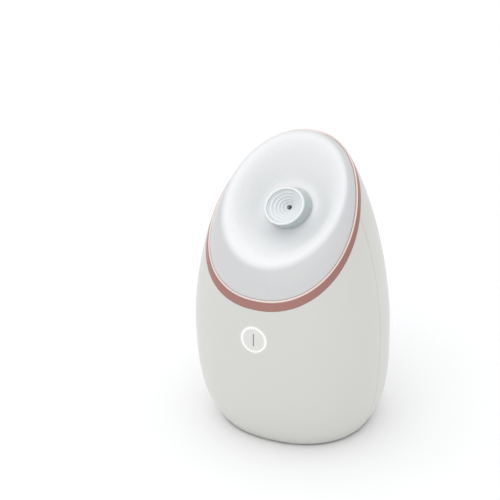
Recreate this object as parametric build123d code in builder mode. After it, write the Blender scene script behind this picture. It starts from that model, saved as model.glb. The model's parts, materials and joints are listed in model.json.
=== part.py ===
from build123d import *
import os
from math import atan2, copysign, cos, degrees, pi, radians, sin

os.makedirs("parts", exist_ok=True)

# ---------------------------------------------------------------------------
# A countertop facial steamer: an egg-shaped body cut off by a tilted plane,
# a plated ring on the cut, and a dished top with the steam nozzle in it.
# Origin: centre of the footprint on the table. +Z up, front towards -Y.
# ---------------------------------------------------------------------------

# Egg body
BODY_HALF_WIDTH = 73.0
DEPTH_RATIO = 0.912           # half depth over half width
SQUARENESS = 2.2              # superellipse exponent of a level section
WIDEST_Z = 79.5
UPPER_RISE = 160.0            # from the widest level to the egg's full apex
UPPER_POWER = 1.78
UPPER_ROOT = 0.547
LOWER_RISE = 106.9
LOWER_POWER = 3.33
LOWER_ROOT = 0.5
CENTRE_Y = -0.77              # section centre at the widest level
LEAN = -0.0445                # drift of the section centres in Y with height
LEAN_CURVE = 0.000673
SHELL_BOTTOM = 1.2
EGG_LOFT_TOP = 228.0
SECTION_LEVELS = [12, 28, 50, 75, 100, 125, 150, 172, 190, 204, 217, EGG_LOFT_TOP]
SECTION_POINTS = 24
WALL = 2.5
SEAM_Y = -6.3                 # parting plane of the front and rear shells
SEAM_GAP = 0.3

# Tilted cut, with the middle of the ring as its centre
CUT_ANGLE = 44.4
CUT_CENTRE_Y = -14.62
CUT_CENTRE_Z = 168.3
RING_HEIGHT = 3.9
RING_LAND = 1.4               # width of the ring's flat top
JOINT_GAP = 0.15

# Dished top
CREST_HALF_X = 46.2
CREST_HALF_Y = 55.5
CREST_SHIFT = 10.2
CREST_ROLL = 70.0             # how far the skirt rolls over, in degrees
CREST_RISE = 10.1             # above the ring
CREST_THINNING = 1.3           # drop of the inner skin's crest, in wall thicknesses
SKIRT_FULLNESS = 1.25          # superellipse exponent: 1 is a straight cone, 2 an ellipse
SKIRT_STEPS = 6
BOWL_HALF_X = 43.6
BOWL_HALF_Y = 53.1
BOWL_SWEEP = 150.0            # degrees of a cosine wave in the bowl's side
DISH_SHIFT = 10.76            # bowl and nozzle lie up the slope from the ring's centre
DISH_FLOOR = -3.1
DISH_WALL = 2.2
DISH_SKIRT = -6.0
PLUG_GAP = 0.3                  # between the dish's stub and the shell's wall
FLOOR_RADIUS = 19.0

# Steam nozzle
NOZZLE_BASE_R = 16.5
NOZZLE_RIM_R = 14.9
NOZZLE_RIM = 9.2
NOZZLE_WALL = 1.8
NOZZLE_LIFT = 0.35            # gap between nozzle and dish floor
STEM_R = 9.0
RUNNING_GAP = 0.08
STEM_END = -15.4
STEAM_HOLE_R = 2.0
STEAM_BORE_R = 3.2
FUNNEL_STEPS = [(12.6, 7.6), (10.4, 5.8), (8.2, 4.0), (6.2, 2.4), (4.3, 0.9)]
FUNNEL_FLOOR = -0.6
SOCKET_R = 14.4
SOCKET_BEARING_END = -13.0
SOCKET_END = -18.0
CLIP_R = 11.4
CHAMBER_R = 12.4
SPIGOT_R = 4.0
SPIGOT_END = -27.0

# Power button
BUTTON_Z = 96.2
BUTTON_R = 8.72
LIGHT_RING_R = 9.9
LIGHT_RING_DEPTH = 7.0
BUTTON_FLANGE_R = 10.3
MARK_LENGTH = 9.6
MARK_WIDTH = 0.8

# Water tank and its bay
TANK_HALF_WIDTH = 34.0
TANK_BOTTOM = 52.0
TANK_TOP = 140.0
TANK_FRONT_Y = 28.0
TANK_CORNER = 12.0
TANK_GAP = 0.35
TANK_WALL = 2.4
TANK_REACH = 60.0             # longer than the tank is deep
BAY_WALL = 1.8
FILLER_Y = 43.0
FILLER_R = 10.0
CAP_HEAD_R = 12.0
OUTLET_X = 24.0
OUTLET_Z = 62.0
OUTLET_R = 3.3
SPIGOT_TIP_R = 2.9

# Boiler
BOILER_R = 20.0
BOILER_Y = 2.0
BOILER_BOTTOM = 32.0
BOILER_TOP = 76.0
BOILER_WALL = 1.5
TUBE_R = 5.0
TUBE_Y = 16.2

# Base
PLATE_THICKNESS = 3.0
FOOT_R = 7.0
FOOT_HEIGHT = 2.2
FOOT_SPREAD_X = 30.0
FOOT_SPREAD_Y = 22.0
BOSS_R = 4.0
BOSS_TOP = 20.0
SCREW_R = 1.5
SCREW_HEAD_R = 2.8
GLAND_Z = 17.0
GLAND_BORE_R = 3.0


def half_width(z):
    """Half width of the egg at height z."""
    if z > WIDEST_Z:
        rise = (z - WIDEST_Z) / UPPER_RISE
        return BODY_HALF_WIDTH * (1 - rise**UPPER_POWER) ** UPPER_ROOT
    drop = (WIDEST_Z - z) / LOWER_RISE
    return BODY_HALF_WIDTH * (1 - drop**LOWER_POWER) ** LOWER_ROOT


def centre_y(z):
    """Y of the centre of the egg's section at height z."""
    rise = z - WIDEST_Z
    return CENTRE_Y + LEAN * rise + LEAN_CURVE * rise * rise


def rounded_power(value):
    return copysign(abs(value) ** (2 / SQUARENESS), value)


def wall_point(z, angle, inset):
    """Point of the egg's section at height z, moved in by inset."""
    across = half_width(z) - inset
    deep = DEPTH_RATIO * half_width(z) - inset
    x = across * rounded_power(cos(angle))
    y = centre_y(z) + deep * rounded_power(sin(angle))
    return (x, y)


def section_points(z, inset):
    step = 2 * pi / SECTION_POINTS
    return [wall_point(z, k * step, inset) for k in range(SECTION_POINTS)]


def cut_spot(height, angle, reach):
    """Point at a distance from the ring's centre, in the plane height above the cut."""
    tilt = radians(CUT_ANGLE)
    up_slope = reach * sin(angle)
    y = CUT_CENTRE_Y + up_slope * cos(tilt) - height * sin(tilt)
    z = CUT_CENTRE_Z + up_slope * sin(tilt) + height * cos(tilt)
    return (reach * cos(angle), y, z)


def outside_egg(x, y, z, inset):
    """Whether a point lies outside the egg with its wall moved in by inset."""
    across = half_width(z) - inset
    deep = DEPTH_RATIO * half_width(z) - inset
    side = abs(x / across) ** SQUARENESS
    depth = abs((y - centre_y(z)) / deep) ** SQUARENESS
    return side + depth > 1


def cut_radius(height, angle, wall):
    """Distance from the ring's centre to the egg's surface, moved in by wall, in that plane."""
    inner = 0.0
    outer = BODY_HALF_WIDTH
    while outer - inner > 0.001:
        middle = (inner + outer) / 2
        if outside_egg(*cut_spot(height, angle, middle), wall):
            outer = middle
        else:
            inner = middle
    return inner


def cut_outline(heights, inset, wall=0.0):
    """Outline that stays inside that surface in each of the planes, moved in by inset."""
    points = []
    for k in range(SECTION_POINTS):
        angle = 2 * pi * k / SECTION_POINTS
        reach = min(cut_radius(height, angle, wall) for height in heights) - inset
        points.append((reach * cos(angle), reach * sin(angle)))
    return points


def egg_solid(inset, bottom):
    """Closed egg with its wall moved in by inset, from bottom to above the cut."""
    with BuildPart() as egg:
        for level in [bottom] + SECTION_LEVELS:
            with BuildSketch(Plane.XY.offset(level)):
                with BuildLine():
                    Spline(*section_points(level, inset), periodic=True)
                make_face()
        loft()
    return egg.part


# Planes -------------------------------------------------------------------

tilt = radians(CUT_ANGLE)
CUT = Plane(
    origin=(0, CUT_CENTRE_Y, CUT_CENTRE_Z),
    x_dir=(1, 0, 0),
    z_dir=(0, -sin(tilt), cos(tilt)),
)
NOZZLE_ORIGIN = CUT.from_local_coords((0, DISH_SHIFT, 0))
NOZZLE = Plane(origin=NOZZLE_ORIGIN, x_dir=(1, 0, 0), z_dir=CUT.z_dir)

NEAR = 0.5
button_y = wall_point(BUTTON_Z, -pi / 2, 0)[1]
rise_y = wall_point(BUTTON_Z + NEAR, -pi / 2, 0)[1] - wall_point(BUTTON_Z - NEAR, -pi / 2, 0)[1]
button_tilt = atan2(rise_y, 2 * NEAR)
BUTTON = Plane(
    origin=(0, button_y, BUTTON_Z),
    x_dir=(1, 0, 0),
    z_dir=(0, -cos(button_tilt), sin(button_tilt)),
)
TANK_CENTRE_Z = (TANK_BOTTOM + TANK_TOP) / 2
TANK_HEIGHT = TANK_TOP - TANK_BOTTOM

gland_y = wall_point(GLAND_Z, pi / 2, 0)[1]
fall_y = wall_point(GLAND_Z + NEAR, pi / 2, 0)[1] - wall_point(GLAND_Z - NEAR, pi / 2, 0)[1]
gland_tilt = atan2(fall_y, 2 * NEAR)
GLAND = Plane(
    origin=(0, gland_y, GLAND_Z),
    x_dir=(1, 0, 0),
    z_dir=(0, cos(gland_tilt), -sin(gland_tilt)),
)


def tank_plane(y):
    """Upright plane at depth y, facing the back."""
    return Plane(origin=(0, y, TANK_CENTRE_Z), x_dir=(1, 0, 0), z_dir=(0, 1, 0))


def save(piece, label):
    piece.part.label = label
    export_step(piece.part, "parts/" + label + ".step")


def turned(radii_heights, plane):
    """Solid of revolution about the plane's Z axis, from (radius, height) corners."""
    profile = Plane(origin=plane.origin, x_dir=plane.x_dir, z_dir=-plane.y_dir)
    with BuildPart() as spun:
        with BuildSketch(profile):
            with BuildLine():
                Polyline(*radii_heights, close=True)
            make_face()
        revolve(axis=Axis(plane.origin, plane.z_dir))
    return spun


# Egg bodies that the shells, ring and tank are cut from ---------------------

egg_outer = egg_solid(0, SHELL_BOTTOM)
egg_inner = egg_solid(WALL, SHELL_BOTTOM)

# Shells --------------------------------------------------------------------

POST_R = 3.0
POST_HOLE_R = 1.0
BOARD_Y = -53.8
BOARD_HALF_WIDTH = 21.0
BOARD_HEIGHT = 48.0
BOARD_THICKNESS = 1.6
POST_X = 17.0
POST_Z = 18.0
post_spots = [(x, BUTTON_Z + dz) for x in (-POST_X, POST_X) for dz in (-POST_Z, POST_Z)]

BOSS_LEAN_IN = 6.5            # boss axis inside the wall at the base
RIB_LENGTH = 14.0
RIB_WIDTH = 2.5
FRONT_BOSS_ANGLES = [-pi * 0.30, -pi * 0.70]
REAR_BOSS_ANGLES = [pi * 0.28, pi * 0.72]
plate_top = SHELL_BOTTOM + PLATE_THICKNESS


def boss_spots(angles):
    return [wall_point(plate_top, angle, WALL + BOSS_LEAN_IN) for angle in angles]


def screw_bosses(angles):
    """Screw bosses that stand on the base plate, each with a rib out to the wall."""
    with BuildPart() as bosses:
        with BuildSketch(Plane.XY.offset(plate_top)):
            for x, y in boss_spots(angles):
                turn = degrees(atan2(y - centre_y(plate_top), x))
                with Locations((x, y)):
                    Circle(BOSS_R)
                    Rectangle(RIB_LENGTH, RIB_WIDTH, rotation=turn, align=(Align.MIN, Align.CENTER))
        extrude(amount=BOSS_TOP - plate_top)
        add(egg_outer, mode=Mode.INTERSECT)
    return bosses.part


def screw_holes(angles):
    with BuildPart() as holes:
        with BuildSketch(Plane.XY.offset(plate_top)):
            with Locations(*boss_spots(angles)):
                Circle(SCREW_R)
        extrude(amount=BOSS_TOP - plate_top - WALL)
    return holes.part


with BuildPart() as egg_wall:
    add(egg_outer)
    add(egg_inner, mode=Mode.SUBTRACT)
    split(bisect_by=CUT, keep=Keep.BOTTOM)

POST_PLANE = Plane(origin=(0, BOARD_Y, 0), x_dir=(1, 0, 0), z_dir=(0, -1, 0))

with BuildPart() as board_posts:
    with BuildSketch(POST_PLANE):
        with Locations(*post_spots):
            Circle(POST_R)
    extrude(amount=BODY_HALF_WIDTH)
    add(egg_outer, mode=Mode.INTERSECT)

BUTTON_HOLE_R = LIGHT_RING_R + JOINT_GAP
SEAM_FRONT = Plane(origin=(0, SEAM_Y - SEAM_GAP / 2, 0), x_dir=(1, 0, 0), z_dir=(0, 1, 0))
SEAM_REAR = Plane(origin=(0, SEAM_Y + SEAM_GAP / 2, 0), x_dir=(1, 0, 0), z_dir=(0, 1, 0))

with BuildPart() as front_shell:
    add(egg_wall.part)
    split(bisect_by=SEAM_FRONT, keep=Keep.BOTTOM)
    add(screw_bosses(FRONT_BOSS_ANGLES))
    add(board_posts.part)
    add(screw_holes(FRONT_BOSS_ANGLES), mode=Mode.SUBTRACT)
    with BuildSketch(BUTTON.offset(WALL)):
        Circle(BUTTON_HOLE_R)
    extrude(amount=-3 * WALL, mode=Mode.SUBTRACT)
    with BuildSketch(POST_PLANE):
        with Locations(*post_spots):
            Circle(POST_HOLE_R)
    extrude(amount=2 * WALL, mode=Mode.SUBTRACT)
save(front_shell, "front_shell")

GLAND_FLANGE_R = 6.5
GLAND_NECK_R = 4.6
GLAND_FLANGE = 1.6
GLAND_SEAT = 0.4

rear_wall = split(egg_wall.part, bisect_by=SEAM_REAR, keep=Keep.TOP)
rear_blank = rear_wall + screw_bosses(REAR_BOSS_ANGLES) - screw_holes(REAR_BOSS_ANGLES)

with BuildPart() as rear_shell:
    add(rear_blank)
    with BuildSketch(tank_plane(SEAM_Y + 2 * WALL)):
        RectangleRounded(2 * TANK_HALF_WIDTH, TANK_HEIGHT, TANK_CORNER)
    extrude(amount=2 * TANK_REACH, mode=Mode.SUBTRACT)
    with BuildSketch(GLAND.offset(-3 * WALL)):
        Circle(GLAND_NECK_R + JOINT_GAP)
    extrude(amount=6 * WALL, mode=Mode.SUBTRACT)
save(rear_shell, "rear_shell")

GLAND_LIP_R = 5.6
GLAND_LIP = 1.2
lip_front = -WALL - 0.6
cord_gland = turned(
    [
        (GLAND_BORE_R, GLAND_FLANGE),
        (GLAND_FLANGE_R - 1, GLAND_FLANGE),
        (GLAND_FLANGE_R, GLAND_FLANGE - 1),
        (GLAND_FLANGE_R, GLAND_SEAT),
        (GLAND_NECK_R, GLAND_SEAT),
        (GLAND_NECK_R, lip_front),
        (GLAND_LIP_R, lip_front),
        (GLAND_LIP_R, lip_front - GLAND_LIP),
        (GLAND_BORE_R, lip_front - GLAND_LIP),
    ],
    GLAND,
)
save(cord_gland, "cord_gland")

# Ring and dished top --------------------------------------------------------

with BuildPart() as trim_ring:
    add(egg_outer)
    split(bisect_by=CUT.offset(JOINT_GAP), keep=Keep.TOP)
    split(bisect_by=CUT.offset(RING_HEIGHT), keep=Keep.BOTTOM)
    with BuildSketch(CUT):
        with BuildLine():
            Spline(*cut_outline([RING_HEIGHT], RING_LAND), periodic=True)
        make_face()
    extrude(amount=2 * RING_HEIGHT, mode=Mode.SUBTRACT)
save(trim_ring, "trim_ring")


def skirt_outline(part_way, inset):
    """Outline of the dish's outside, part way from the ring to the crest."""
    points = []
    base = cut_outline([RING_HEIGHT], RING_LAND + JOINT_GAP + inset)
    for k, (base_x, base_y) in enumerate(base):
        angle = 2 * pi * k / SECTION_POINTS
        crest_x = (CREST_HALF_X - inset) * cos(angle)
        crest_y = (CREST_HALF_Y - inset) * sin(angle) + CREST_SHIFT
        x = base_x + (crest_x - base_x) * part_way
        y = base_y + (crest_y - base_y) * part_way
        points.append((x, y))
    return points


def skirt_share(value):
    return value ** (2 / SKIRT_FULLNESS)


def pillow(inset, bottom):
    """Outside of the top: a nearly straight skirt that rounds over to the crest."""
    full_roll = radians(CREST_ROLL)
    rise = CREST_RISE - CREST_THINNING * inset
    with BuildPart() as body:
        with BuildSketch(CUT.offset(bottom)):
            with BuildLine():
                Spline(*skirt_outline(0, inset), periodic=True)
            make_face()
        extrude(amount=RING_HEIGHT - bottom)
        for k in range(SKIRT_STEPS + 1):
            roll = full_roll * k / SKIRT_STEPS
            part_way = (1 - skirt_share(cos(roll))) / (1 - skirt_share(cos(full_roll)))
            height = RING_HEIGHT + rise * skirt_share(sin(roll)) / skirt_share(sin(full_roll))
            with BuildSketch(CUT.offset(height)):
                with BuildLine():
                    Spline(*skirt_outline(part_way, inset), periodic=True)
                make_face()
        loft()
    return body


crest_height = RING_HEIGHT + CREST_RISE


def bowl(grow):
    """Hollow of the dish, from its floor up to the crest, grown outwards by grow."""
    steps = 8
    sweep_angle = radians(BOWL_SWEEP)
    with BuildPart() as hollow:
        for k in range(steps + 1):
            up = k / steps
            reach = (1 - cos(sweep_angle * up)) / (1 - cos(sweep_angle))
            height = DISH_FLOOR - grow + (crest_height - DISH_FLOOR) * reach
            with BuildSketch(CUT.offset(height)):
                with Locations((0, DISH_SHIFT)):
                    Ellipse(
                        FLOOR_RADIUS + grow + (BOWL_HALF_X - FLOOR_RADIUS) * up,
                        FLOOR_RADIUS + grow + (BOWL_HALF_Y - FLOOR_RADIUS) * up,
                    )
        loft()
    return hollow


dish_seat = JOINT_GAP
flange_top = dish_seat + DISH_WALL


def plug(inset, top):
    """Straight stub that fits inside the shell's wall, moved in by inset."""
    with BuildPart() as body:
        with BuildSketch(CUT.offset(DISH_SKIRT)):
            with BuildLine():
                Spline(*cut_outline([0, DISH_SKIRT], inset, WALL + PLUG_GAP), periodic=True)
            make_face()
        extrude(amount=top - DISH_SKIRT)
    return body.part


dish_bowl = bowl(0)
dish_bowl_back = bowl(DISH_WALL)
pillow_inside = pillow(DISH_WALL, flange_top)
pillow_outside = pillow(0, dish_seat)

with BuildPart() as dish_hollow:
    add(pillow_inside.part)
    add(plug(DISH_WALL, flange_top))
    add(dish_bowl_back.part, mode=Mode.SUBTRACT)

with BuildPart() as dish:
    add(pillow_outside.part)
    add(plug(0, dish_seat))
    add(dish_hollow.part, mode=Mode.SUBTRACT)
    add(dish_bowl.part, mode=Mode.SUBTRACT)
    with BuildSketch(NOZZLE.offset(DISH_SKIRT)):
        Circle(SOCKET_R + JOINT_GAP)
    extrude(amount=crest_height - DISH_SKIRT, mode=Mode.SUBTRACT)
save(dish, "dish")

# Nozzle, its socket and the steam path ---------------------------------------

nozzle_foot = DISH_FLOOR + NOZZLE_LIFT
CLIP_GROOVE = 1.2
CLIP_THICKNESS = 1.0
GROOVE_R = 7.4
clip_top = SOCKET_BEARING_END - JOINT_GAP
SEAL_TOP = -7.0
SEAL_HEIGHT = 2.0
SEAL_SEAT_R = 7.6
RIM_ROUND = 0.7
INSERT_R = NOZZLE_BASE_R - NOZZLE_WALL - 1.2

# Clear cup with a hub below it that turns in the socket
steam_nozzle = turned(
    [
        (STEAM_BORE_R + 1.6, nozzle_foot + 2.0),
        (INSERT_R, nozzle_foot + 2.0),
        (NOZZLE_RIM_R - NOZZLE_WALL, NOZZLE_RIM - RIM_ROUND),
        (NOZZLE_RIM_R - NOZZLE_WALL + RIM_ROUND, NOZZLE_RIM),
        (NOZZLE_RIM_R - RIM_ROUND, NOZZLE_RIM),
        (NOZZLE_RIM_R, NOZZLE_RIM - RIM_ROUND),
        (NOZZLE_BASE_R, nozzle_foot),
        (STEM_R, nozzle_foot),
        (STEM_R, SEAL_TOP),
        (SEAL_SEAT_R, SEAL_TOP),
        (SEAL_SEAT_R, SEAL_TOP - SEAL_HEIGHT),
        (STEM_R, SEAL_TOP - SEAL_HEIGHT),
        (STEM_R, clip_top),
        (GROOVE_R, clip_top),
        (GROOVE_R, clip_top - CLIP_GROOVE),
        (STEM_R, clip_top - CLIP_GROOVE),
        (STEM_R, STEM_END),
        (STEAM_BORE_R + 1.6, STEM_END),
    ],
    NOZZLE,
)
save(steam_nozzle, "steam_nozzle")

# Stepped funnel, one annular tread for each step, with the steam hole in its middle
funnel_profile = [(STEAM_BORE_R + 1.5, STEM_END + 0.4), (STEAM_BORE_R, STEM_END + 0.4)]
funnel_profile += [(STEAM_BORE_R, FUNNEL_FLOOR - 2.0), (STEAM_HOLE_R, FUNNEL_FLOOR - 1.0)]
funnel_profile += [(STEAM_HOLE_R, FUNNEL_FLOOR), (FUNNEL_STEPS[-1][0] - 0.6, FUNNEL_FLOOR)]
for radius, height in reversed(FUNNEL_STEPS):
    funnel_profile.append((radius, height))
    funnel_profile.append((radius + 1.4, height))
funnel_profile.pop()
funnel_profile += [(INSERT_R - 0.25, nozzle_foot + 2.1), (STEAM_BORE_R + 1.5, nozzle_foot + 2.1)]
steam_funnel = turned(funnel_profile, NOZZLE)
save(steam_funnel, "steam_funnel")

nozzle_seal = turned(
    [
        (SEAL_SEAT_R + 0.05, SEAL_TOP - 0.1),
        (STEM_R + RUNNING_GAP / 2, SEAL_TOP - 0.6),
        (STEM_R + RUNNING_GAP / 2, SEAL_TOP - SEAL_HEIGHT + 0.6),
        (SEAL_SEAT_R + 0.05, SEAL_TOP - SEAL_HEIGHT + 0.1),
    ],
    NOZZLE,
)
save(nozzle_seal, "nozzle_seal")

nozzle_clip = turned(
    [
        (GROOVE_R + 0.05, clip_top - 0.1),
        (CLIP_R, clip_top - 0.1),
        (CLIP_R, clip_top - 0.1 - CLIP_THICKNESS),
        (GROOVE_R + 0.05, clip_top - 0.1 - CLIP_THICKNESS),
    ],
    NOZZLE,
)
save(nozzle_clip, "nozzle_clip")

SOCKET_FLANGE_R = 17.5
socket_top = DISH_FLOOR
flange_top = DISH_FLOOR - DISH_WALL - 0.05
nozzle_socket = turned(
    [
        (STEM_R + RUNNING_GAP, socket_top),
        (SOCKET_R, socket_top),
        (SOCKET_R, flange_top),
        (SOCKET_FLANGE_R, flange_top),
        (SOCKET_FLANGE_R, flange_top - 1.8),
        (SOCKET_R, flange_top - 1.8),
        (SOCKET_R, SOCKET_END),
        (CHAMBER_R, SOCKET_END),
        (CHAMBER_R, SOCKET_BEARING_END),
        (STEM_R + RUNNING_GAP, SOCKET_BEARING_END),
    ],
    NOZZLE,
)
save(nozzle_socket, "nozzle_socket")

SPIGOT_BORE_R = 2.8
socket_cap = turned(
    [
        (SPIGOT_BORE_R, SOCKET_END + 1.4),
        (CHAMBER_R - 0.1, SOCKET_END + 1.4),
        (CHAMBER_R - 0.1, SOCKET_END - 0.05),
        (SOCKET_R, SOCKET_END - 0.05),
        (SOCKET_R, SOCKET_END - 2.0),
        (SPIGOT_R, SOCKET_END - 2.0),
        (SPIGOT_R, SPIGOT_END),
        (SPIGOT_BORE_R, SPIGOT_END),
    ],
    NOZZLE,
)
save(socket_cap, "socket_cap")

LID_THICKNESS = 3.0
PORT_HEIGHT = 9.0
TUBE_OVERLAP = 5.0
TUBE_BEND_R = 12.0
lid_top = BOILER_TOP + LID_THICKNESS
tube_top = NOZZLE.from_local_coords((0, 0, SPIGOT_END + TUBE_OVERLAP))
corner_reach = (TUBE_Y - NOZZLE_ORIGIN.Y) / sin(tilt)
tube_corner = NOZZLE.from_local_coords((0, 0, -corner_reach))
tube_foot = (0, TUBE_Y, lid_top + PORT_HEIGHT - TUBE_OVERLAP)

with BuildPart() as steam_tube:
    with BuildLine() as tube_path:
        FilletPolyline(tube_foot, tube_corner, tube_top, radius=TUBE_BEND_R)
    with BuildSketch(Plane(origin=tube_foot, z_dir=(0, 0, 1))):
        Circle(TUBE_R)
        Circle(SPIGOT_R + 0.05, mode=Mode.SUBTRACT)
    sweep()
save(steam_tube, "steam_tube")

# Boiler ----------------------------------------------------------------------

BOILER = Plane(origin=(0, BOILER_Y, 0), x_dir=(1, 0, 0), z_dir=(0, 0, 1))
FLANGE_WIDTH = 3.0
GASKET = 1.0
boiler_rim = BOILER_TOP - GASKET
BARB_R = 2.4
BARB_BORE_R = 1.5
HOSE_R = 3.4
FEED_Z = 42.0

boiler_body = turned(
    [
        (0, BOILER_BOTTOM),
        (BOILER_R, BOILER_BOTTOM),
        (BOILER_R, boiler_rim - 2.0),
        (BOILER_R + FLANGE_WIDTH, boiler_rim - 2.0),
        (BOILER_R + FLANGE_WIDTH, boiler_rim),
        (BOILER_R - BOILER_WALL, boiler_rim),
        (BOILER_R - BOILER_WALL, BOILER_BOTTOM + 2.0),
        (0, BOILER_BOTTOM + 2.0),
    ],
    BOILER,
)
BARB_REACH = 5.0
BARB = Plane(origin=(BOILER_R - 1.0, BOILER_Y, FEED_Z), x_dir=(0, 1, 0), z_dir=(1, 0, 0))

with BuildPart() as boiler:
    add(boiler_body.part)
    with BuildSketch(BARB):
        Circle(BARB_R)
    extrude(amount=1.0 + BARB_REACH)
    with BuildSketch(BARB.offset(-BOILER_WALL)):
        Circle(BARB_BORE_R)
    extrude(amount=2 * BARB_REACH, mode=Mode.SUBTRACT)
save(boiler, "boiler")

boiler_gasket = turned(
    [
        (BOILER_R - BOILER_WALL, boiler_rim),
        (BOILER_R + FLANGE_WIDTH, boiler_rim),
        (BOILER_R + FLANGE_WIDTH, BOILER_TOP),
        (BOILER_R - BOILER_WALL, BOILER_TOP),
    ],
    BOILER,
)
save(boiler_gasket, "boiler_gasket")

with BuildPart() as boiler_lid:
    with BuildSketch(BOILER.offset(BOILER_TOP)):
        Circle(BOILER_R + FLANGE_WIDTH)
    extrude(amount=LID_THICKNESS)
    with BuildSketch(Plane(origin=(0, TUBE_Y, lid_top), z_dir=(0, 0, 1))):
        Circle(SPIGOT_R)
    extrude(amount=PORT_HEIGHT)
    with BuildSketch(Plane(origin=(0, TUBE_Y, BOILER_TOP), z_dir=(0, 0, 1))):
        Circle(SPIGOT_BORE_R)
    extrude(amount=LID_THICKNESS + PORT_HEIGHT, mode=Mode.SUBTRACT)
save(boiler_lid, "boiler_lid")

HEATER_HEIGHT = 5.0
with BuildPart() as heater:
    with BuildSketch(BOILER.offset(BOILER_BOTTOM - HEATER_HEIGHT)):
        Circle(BOILER_R - 2)
    extrude(amount=HEATER_HEIGHT)
    with BuildSketch(BOILER.offset(BOILER_BOTTOM - HEATER_HEIGHT)):
        Circle(BOILER_R / 3)
    extrude(amount=HEATER_HEIGHT / 2, mode=Mode.SUBTRACT)
    chamfer(edges().filter_by(GeomType.CIRCLE).sort_by(Axis.Z)[0], 0.6)
save(heater, "heater")

CUP_LEGS = 3
CUP_LEG_R = 2.5
CUP_THICKNESS = 2.0
heater_bottom = BOILER_BOTTOM - HEATER_HEIGHT
with BuildPart() as boiler_stand:
    with BuildSketch(BOILER.offset(heater_bottom - CUP_THICKNESS)):
        Circle(BOILER_R + FLANGE_WIDTH)
        Circle(BOILER_R / 2, mode=Mode.SUBTRACT)
    extrude(amount=CUP_THICKNESS)
    with BuildSketch(BOILER.offset(plate_top)):
        with PolarLocations(BOILER_R, CUP_LEGS, start_angle=30):
            Circle(CUP_LEG_R)
    extrude(amount=heater_bottom - CUP_THICKNESS - plate_top)
save(boiler_stand, "boiler_stand")

THERMOSTAT_Z = 56.0
THERMOSTAT_R = 7.0
SIDE = Plane(origin=(0, BOILER_Y - BOILER_R, THERMOSTAT_Z), x_dir=(1, 0, 0), z_dir=(0, -1, 0))
with BuildPart() as thermostat:
    with BuildSketch(SIDE.offset(-THERMOSTAT_R / 2)):
        Circle(THERMOSTAT_R)
    extrude(amount=THERMOSTAT_R / 2 + 4.0)
    with BuildSketch(SIDE.offset(4.0)):
        with Locations((-4, 0), (4, 0)):
            Rectangle(0.8, 5)
    extrude(amount=6.0)
    add(boiler_body.part, mode=Mode.SUBTRACT)
    with BuildSketch(BOILER.offset(BOILER_BOTTOM)):
        Circle(BOILER_R)
    extrude(amount=BOILER_TOP - BOILER_BOTTOM, mode=Mode.SUBTRACT)
save(thermostat, "thermostat")

FUSE_R = 2.2
FUSE_LENGTH = 14.0
FUSE_LEAD_R = 0.5
FUSE = Plane(
    origin=(-BOILER_R - FUSE_R - 0.1, BOILER_Y, THERMOSTAT_Z - FUSE_LENGTH / 2),
    x_dir=(1, 0, 0),
    z_dir=(0, 0, 1),
)
with BuildPart() as thermal_fuse:
    with BuildSketch(FUSE):
        Circle(FUSE_R)
    extrude(amount=FUSE_LENGTH)
    fillet(edges().filter_by(GeomType.CIRCLE), 0.5)
    with BuildSketch(FUSE.offset(-5)):
        Circle(FUSE_LEAD_R)
    extrude(amount=FUSE_LENGTH + 10)
save(thermal_fuse, "thermal_fuse")

# Water tank and its bay --------------------------------------------------------

bay_front_y = TANK_FRONT_Y - TANK_GAP
outlet_down = TANK_CENTRE_Z - OUTLET_Z

with BuildPart() as tank_bay:
    with BuildSketch(tank_plane(bay_front_y - BAY_WALL)):
        RectangleRounded(
            2 * (TANK_HALF_WIDTH + BAY_WALL), TANK_HEIGHT + 2 * BAY_WALL, TANK_CORNER + BAY_WALL
        )
    extrude(amount=TANK_REACH)
    add(egg_inner, mode=Mode.INTERSECT)
    with BuildSketch(tank_plane(bay_front_y)):
        RectangleRounded(2 * TANK_HALF_WIDTH, TANK_HEIGHT, TANK_CORNER)
    extrude(amount=TANK_REACH, mode=Mode.SUBTRACT)
    with BuildSketch(tank_plane(bay_front_y - 2 * BAY_WALL)):
        with Locations((OUTLET_X, outlet_down)):
            Circle(OUTLET_R)
    extrude(amount=3 * BAY_WALL, mode=Mode.SUBTRACT)
save(tank_bay, "tank_bay")

GRIP_HALF_WIDTH = 17.0
GRIP_HEIGHT = 13.0
GRIP_DEPTH = 8.0
GRIP_Z = 112.0
grip_y = wall_point(GRIP_Z, pi / 2, 0)[1]
filler_top = TANK_TOP - TANK_GAP
HEAD_THICKNESS = 3.4
CAP_SINK = 1.5
CAP_PLUG = 4.5
CAP_CLEARANCE = 0.4
NECK_WALL = 2.0
WASHER = 0.9
head_seat = filler_top - CAP_SINK - HEAD_THICKNESS - WASHER
FILLER = Plane(origin=(0, FILLER_Y, 0), x_dir=(1, 0, 0), z_dir=(0, 0, 1))
OUTLET_BOSS_R = 6.5
OUTLET_BOSS = 8.0


def tank_block(inset, start):
    """Rounded block along the bay, its faces set in by inset."""
    with BuildPart() as block:
        with BuildSketch(tank_plane(start)):
            RectangleRounded(
                2 * (TANK_HALF_WIDTH - inset), TANK_HEIGHT - 2 * inset, TANK_CORNER - inset
            )
        extrude(amount=TANK_REACH)
    return block.part


tub_limit = egg_solid(WALL + JOINT_GAP, SHELL_BOTTOM)

with BuildPart() as filler_neck:
    with BuildSketch(FILLER.offset(filler_top)):
        Circle(CAP_HEAD_R + NECK_WALL)
    extrude(amount=-(filler_top - head_seat + NECK_WALL))
    add(tub_limit, mode=Mode.INTERSECT)

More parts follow.
